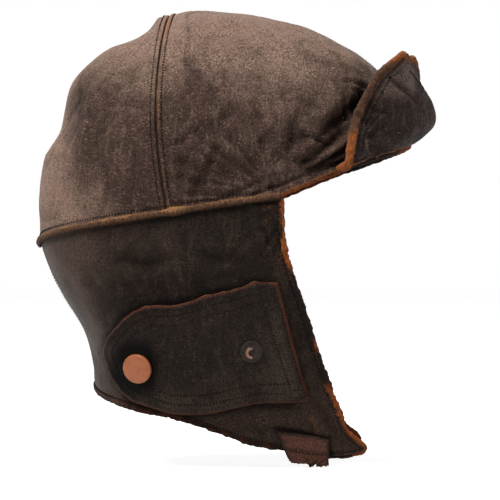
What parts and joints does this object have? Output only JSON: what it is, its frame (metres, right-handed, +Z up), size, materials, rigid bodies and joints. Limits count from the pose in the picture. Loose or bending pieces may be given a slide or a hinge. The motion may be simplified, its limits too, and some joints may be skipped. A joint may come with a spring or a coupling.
{
  "type": "flying helmet",
  "caption": "Soft leather flying helmet with a panelled crown, snap-down ear flaps, a turned-up visor and folded chin tabs.",
  "frame": {"origin": "middle of the head at band level, where a head form or a head seats in the crown", "axes": "+X to the face, -Y to the wearer's right, +Z up"},
  "size_m": [0.212, 0.17, 0.2405],
  "materials": {
    "crown_leather": "worn oiled hide",
    "side_leather": "worn dark hide",
    "flap_leather": "worn hide",
    "worn_edge": "rubbed folded edge",
    "suede_edge": "raw suede",
    "tab_leather": "reddish hide",
    "seam_tape": "thin split hide",
    "lining_cloth": "soft cloth",
    "copper_cap": "satin copper plate",
    "snap_brass": "dull",
    "dark_stud": "blackened"
  },
  "bodies": {
    "helmet": {"crown_front_right": "crown_leather", "crown_back_right": "crown_leather", "crown_welt_right": "worn_edge", "side_panel_right": "side_leather", "side_lining_right": "lining_cloth", "face_binding_right": "suede_edge", "hem_binding_right": "side_leather", "flap_front_strip_right": "flap_leather", "snap_stud_right": "snap_brass", "snap_washer_right": "snap_brass", "chin_tab_foot_right": "tab_leather", "crown_front_left": "crown_leather", "crown_back_left": "crown_leather", "crown_welt_left": "worn_edge", "side_panel_left": "side_leather", "side_lining_left": "lining_cloth", "face_binding_left": "suede_edge", "hem_binding_left": "side_leather", "flap_front_strip_left": "flap_leather", "snap_stud_left": "snap_brass", "snap_washer_left": "snap_brass", "chin_tab_foot_left": "tab_leather", "crown_lining": "lining_cloth", "ear_to_ear_seam_tape": "seam_tape", "front_seam_tape": "seam_tape", "back_seam_tape": "seam_tape", "neck_seam_tape": "seam_tape"},
    "visor": {"visor": "crown_leather", "visor_lining": "flap_leather", "visor_bead": "worn_edge"},
    "ear_flap_right": {"ear_flap_right": "flap_leather", "ear_flap_lining_right": "flap_leather", "snap_cap_right": "copper_cap", "snap_socket_right": "snap_brass", "flap_stud_right": "dark_stud", "flap_stud_washer_right": "dark_stud"},
    "chin_tab_right": {"chin_tab_lip_right": "tab_leather"},
    "ear_flap_left": {"ear_flap_left": "flap_leather", "ear_flap_lining_left": "flap_leather", "snap_cap_left": "copper_cap", "snap_socket_left": "snap_brass", "flap_stud_left": "dark_stud", "flap_stud_washer_left": "dark_stud"},
    "chin_tab_left": {"chin_tab_lip_left": "tab_leather"}
  },
  "joints": [
    {"name": "visor_fold", "type": "hinge", "parent": "helmet", "child": "visor", "pos_m": [0.086, 0, 0.034], "axis": [0, 1, 0], "range_deg": [0, 60]},
    {"name": "ear_flap_right_fold", "type": "hinge", "parent": "helmet", "child": "ear_flap_right", "pos_m": [0.01481, -0.08291, -0.03567], "axis": [-0.2885, -0.2341, 0.9284], "range_deg": [0, 135]},
    {"name": "chin_tab_right_fold", "type": "hinge", "parent": "helmet", "child": "chin_tab_right", "pos_m": [0.02757, -0.06033, -0.12311], "axis": [0.9676, 0.2186, -0.1266], "range_deg": [0, 70]},
    {"name": "ear_flap_left_fold", "type": "hinge", "parent": "helmet", "child": "ear_flap_left", "pos_m": [0.01481, 0.08291, -0.03567], "axis": [0.2885, -0.2341, -0.9284], "range_deg": [0, 135]},
    {"name": "chin_tab_left_fold", "type": "hinge", "parent": "helmet", "child": "chin_tab_left", "pos_m": [0.02757, 0.06033, -0.12311], "axis": [-0.9676, 0.2186, 0.1266], "range_deg": [0, 70]}
  ]
}
